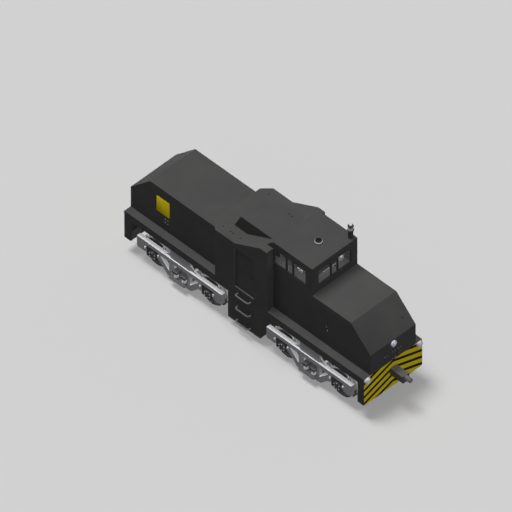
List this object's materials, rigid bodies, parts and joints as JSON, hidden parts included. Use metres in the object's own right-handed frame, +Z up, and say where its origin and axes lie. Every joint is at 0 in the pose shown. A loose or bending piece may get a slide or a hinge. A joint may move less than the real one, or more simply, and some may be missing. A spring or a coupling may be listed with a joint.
{
  "type": "diesel locomotive",
  "caption": "Small four-axle diesel locomotive with a raised cab between a long and a short hood, on two truss-framed bogies.",
  "frame": {"origin": "on the floor under the middle of the locomotive, level with the wheel flanges' lowest points", "axes": "+X forward, along the length; +Y the left-hand side; +Z up"},
  "size_m": [10.65, 2.4948, 4.4799],
  "materials": {
    "body_paint": "satin charcoal paint",
    "pilot_paint": "yellow paint with black chevrons",
    "light_paint": "light grey paint",
    "bogie_paint": "light grey paint",
    "bogie_dark": "dark cast steel",
    "spring_steel": "bare spring steel",
    "brake_iron": "cast iron",
    "wheel_steel": "rolled steel, bright treads",
    "cast_steel": "dark cast steel",
    "engine_paint": "machinery paint",
    "floor_plate": "painted floor plate",
    "desk_paint": "grey paint",
    "seat_vinyl": "black vinyl",
    "lamp_rim": "dark paint",
    "lamp_lens": "pale lens",
    "beacon_lens": "smoked lens",
    "vent_metal": "bare metal rim",
    "window_glass": "clear tinted glass"
  },
  "bodies": {
    "locomotive": {"underframe": "body_paint", "front_pilot": "pilot_paint", "rear_pilot": "pilot_paint", "fuel_tank": "body_paint", "step_rungs": "light_paint", "rear_hood": "body_paint", "front_hood": "body_paint", "engine": "engine_paint", "cab_side_right": "body_paint", "cab_side_left": "body_paint", "cab_rear": "body_paint", "cab_roof": "body_paint", "cab_floor": "floor_plate", "window_wall_right": "body_paint", "window_wall_left": "body_paint", "window_wall_front": "body_paint", "top_roof": "body_paint", "window_glass": "window_glass", "driver_platform": "floor_plate", "control_desk": "desk_paint", "driver_seat": "seat_vinyl", "brake_stand": "light_paint", "lamp_rims": "lamp_rim", "lamps": "lamp_lens", "beacon": "lamp_rim", "beacon_lens": "beacon_lens", "roof_vent": "vent_metal", "draft_boxes": "body_paint", "drawheads": "cast_steel"},
    "door_left_body": {"door_left": "body_paint"},
    "door_right_body": {"door_right": "body_paint"},
    "front_bogie": {"front_bogie_frame": "bogie_paint", "front_bogie_bolster": "bogie_dark", "front_bogie_springs": "spring_steel", "front_axle_boxes": "bogie_dark", "front_brakes": "brake_iron"},
    "front_wheelset_inner_body": {"front_wheelset_inner": "wheel_steel"},
    "front_wheelset_outer_body": {"front_wheelset_outer": "wheel_steel"},
    "rear_bogie": {"rear_bogie_frame": "bogie_paint", "rear_bogie_bolster": "bogie_dark", "rear_bogie_springs": "spring_steel", "rear_axle_boxes": "bogie_dark", "rear_brakes": "brake_iron"},
    "rear_wheelset_inner_body": {"rear_wheelset_inner": "wheel_steel"},
    "rear_wheelset_outer_body": {"rear_wheelset_outer": "wheel_steel"}
  },
  "joints": [
    {"name": "front_bogie_pivot", "type": "hinge", "parent": "locomotive", "child": "front_bogie", "pos_m": [2.5, 0, 1.05], "axis": [0, 0, 1], "range_deg": [-6, 6]},
    {"name": "front_wheelset_inner_turn", "type": "hinge", "parent": "front_bogie", "child": "front_wheelset_inner_body", "pos_m": [1.4375, 0, 0.488], "axis": [0, 1, 0], "continuous": true},
    {"name": "front_wheelset_outer_turn", "type": "hinge", "parent": "front_bogie", "child": "front_wheelset_outer_body", "pos_m": [3.5625, 0, 0.488], "axis": [0, 1, 0], "continuous": true},
    {"name": "rear_bogie_pivot", "type": "hinge", "parent": "locomotive", "child": "rear_bogie", "pos_m": [-2.5, 0, 1.05], "axis": [0, 0, 1], "range_deg": [-6, 6]},
    {"name": "rear_wheelset_inner_turn", "type": "hinge", "parent": "rear_bogie", "child": "rear_wheelset_inner_body", "pos_m": [-1.4375, 0, 0.488], "axis": [0, 1, 0], "continuous": true},
    {"name": "rear_wheelset_outer_turn", "type": "hinge", "parent": "rear_bogie", "child": "rear_wheelset_outer_body", "pos_m": [-3.5625, 0, 0.488], "axis": [0, 1, 0], "continuous": true},
    {"name": "door_right_hinge", "type": "hinge", "parent": "locomotive", "child": "door_right_body", "pos_m": [-0.385, -1.031, 2.33], "axis": [0, 0, 1], "range_deg": [0, 90]},
    {"name": "door_left_hinge", "type": "hinge", "parent": "locomotive", "child": "door_left_body", "pos_m": [-0.385, 1.031, 2.33], "axis": [0, 0, -1], "range_deg": [0, 90]}
  ]
}
